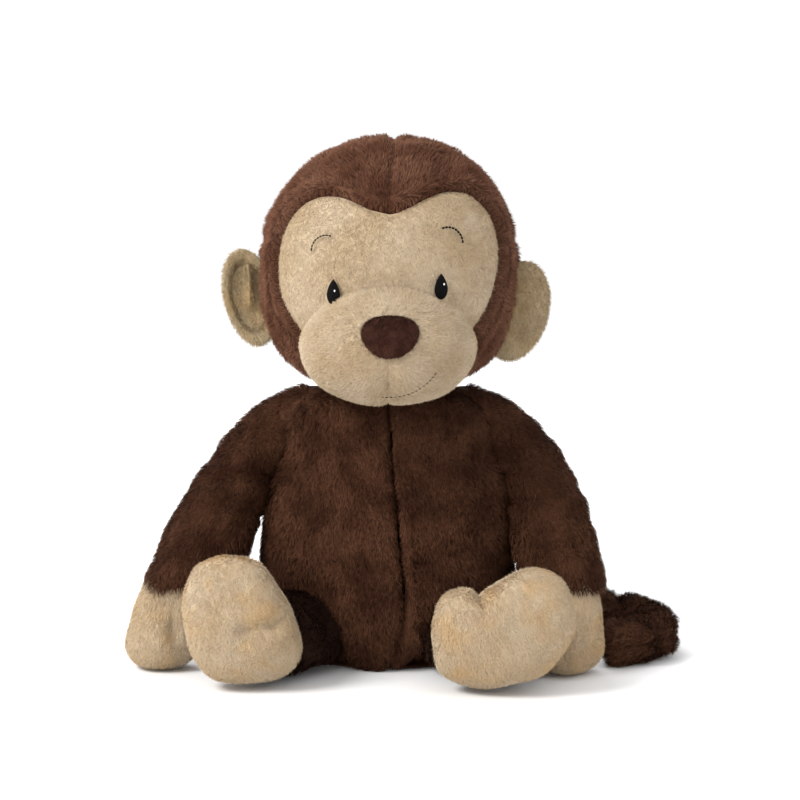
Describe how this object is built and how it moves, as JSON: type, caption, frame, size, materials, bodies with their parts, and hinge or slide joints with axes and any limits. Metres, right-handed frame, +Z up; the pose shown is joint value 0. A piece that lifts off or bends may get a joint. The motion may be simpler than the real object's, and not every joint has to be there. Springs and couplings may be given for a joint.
{
  "type": "stuffed monkey",
  "caption": "Seated plush monkey of sewn short-pile panels over stuffing, with a turning head, soft jointed limbs and a curled tail.",
  "frame": {"origin": "centre of the flat seat's underside, on the ground", "axes": "+Z up, the face looks along -Y, +X is the toy's own left side"},
  "size_m": [0.3769, 0.2284, 0.365],
  "materials": {
    "brown_pile": "matte",
    "tan_pile": "matte",
    "nose_pile": "matte",
    "black_thread": "satin",
    "white_thread": "satin",
    "stuffing": "matte",
    "pellets": "matte"
  },
  "bodies": {
    "torso": {"torso_front_left": "brown_pile", "torso_front_right": "brown_pile", "torso_back_left": "brown_pile", "torso_back_right": "brown_pile", "seat_gusset": "brown_pile", "torso_stuffing": "stuffing", "seat_pellets": "pellets"},
    "neck": {"neck_gather": "brown_pile"},
    "head": {"neck_stuffing": "stuffing", "head_stuffing": "stuffing", "muzzle_stuffing": "stuffing", "crown_left": "brown_pile", "crown_right": "brown_pile", "hood_left": "brown_pile", "hood_right": "brown_pile", "head_back_left": "brown_pile", "head_back_right": "brown_pile", "chin_gusset": "brown_pile", "face_panel": "tan_pile", "muzzle_left": "tan_pile", "muzzle_right": "tan_pile", "nose_patch": "nose_pile", "eye_left": "black_thread", "eye_right": "black_thread", "eye_glint_left": "white_thread", "eye_glint_right": "white_thread", "brow_left": "black_thread", "brow_right": "black_thread", "mouth_stitch": "black_thread"},
    "ear_left": {"ear_left_front": "tan_pile", "ear_left_back": "tan_pile"},
    "ear_right": {"ear_right_front": "tan_pile", "ear_right_back": "tan_pile"},
    "arm_left": {"sleeve_left_front": "brown_pile", "sleeve_left_back": "brown_pile", "hand_left_palm": "tan_pile", "hand_left_back": "tan_pile", "arm_left_stuffing": "stuffing", "hand_left_pellets": "pellets"},
    "arm_right": {"sleeve_right_front": "brown_pile", "sleeve_right_back": "brown_pile", "hand_right_palm": "tan_pile", "hand_right_back": "tan_pile", "arm_right_stuffing": "stuffing", "hand_right_pellets": "pellets"},
    "leg_left": {"leg_left_wrap": "brown_pile", "foot_left_sole": "tan_pile", "foot_left_instep": "tan_pile", "leg_left_stuffing": "stuffing", "foot_left_pellets": "pellets"},
    "leg_right": {"leg_right_wrap": "brown_pile", "foot_right_sole": "tan_pile", "foot_right_instep": "tan_pile", "leg_right_stuffing": "stuffing", "foot_right_pellets": "pellets"},
    "tail": {"tail_upper": "brown_pile", "tail_under": "brown_pile", "tail_stuffing": "stuffing"}
  },
  "joints": [
    {"name": "head_turn", "type": "hinge", "parent": "torso", "child": "neck", "pos_m": [0, 0.002, 0.188], "axis": [0, 0, 1], "range_deg": [-25, 25]},
    {"name": "head_nod", "type": "hinge", "parent": "neck", "child": "head", "pos_m": [0, 0.002, 0.188], "axis": [1, 0, 0], "range_deg": [-10, 10]},
    {"name": "ear_left_fold", "type": "hinge", "parent": "head", "child": "ear_left", "pos_m": [0.09014, 0.002, 0.244], "axis": [0, 0, 1], "range_deg": [-25, 25]},
    {"name": "ear_right_fold", "type": "hinge", "parent": "head", "child": "ear_right", "pos_m": [-0.09085, 0.002, 0.252], "axis": [0, 0, 1], "range_deg": [-25, 25]},
    {"name": "arm_left_raise", "type": "hinge", "parent": "torso", "child": "arm_left", "pos_m": [0.0879, 0, 0.158], "axis": [0, -1, 0], "range_deg": [0, 70]},
    {"name": "arm_right_raise", "type": "hinge", "parent": "torso", "child": "arm_right", "pos_m": [-0.0879, 0, 0.158], "axis": [0, 1, 0], "range_deg": [0, 70]},
    {"name": "leg_left_lift", "type": "hinge", "parent": "torso", "child": "leg_left", "pos_m": [0.062, -0.07073, 0.028], "axis": [-1, 0, 0], "range_deg": [0, 35]},
    {"name": "leg_right_lift", "type": "hinge", "parent": "torso", "child": "leg_right", "pos_m": [-0.062, -0.07073, 0.028], "axis": [-1, 0, 0], "range_deg": [0, 35]},
    {"name": "tail_swing", "type": "hinge", "parent": "torso", "child": "tail", "pos_m": [0.025, 0.07048, 0.024], "axis": [0, 0, 1], "range_deg": [0, 25]}
  ]
}
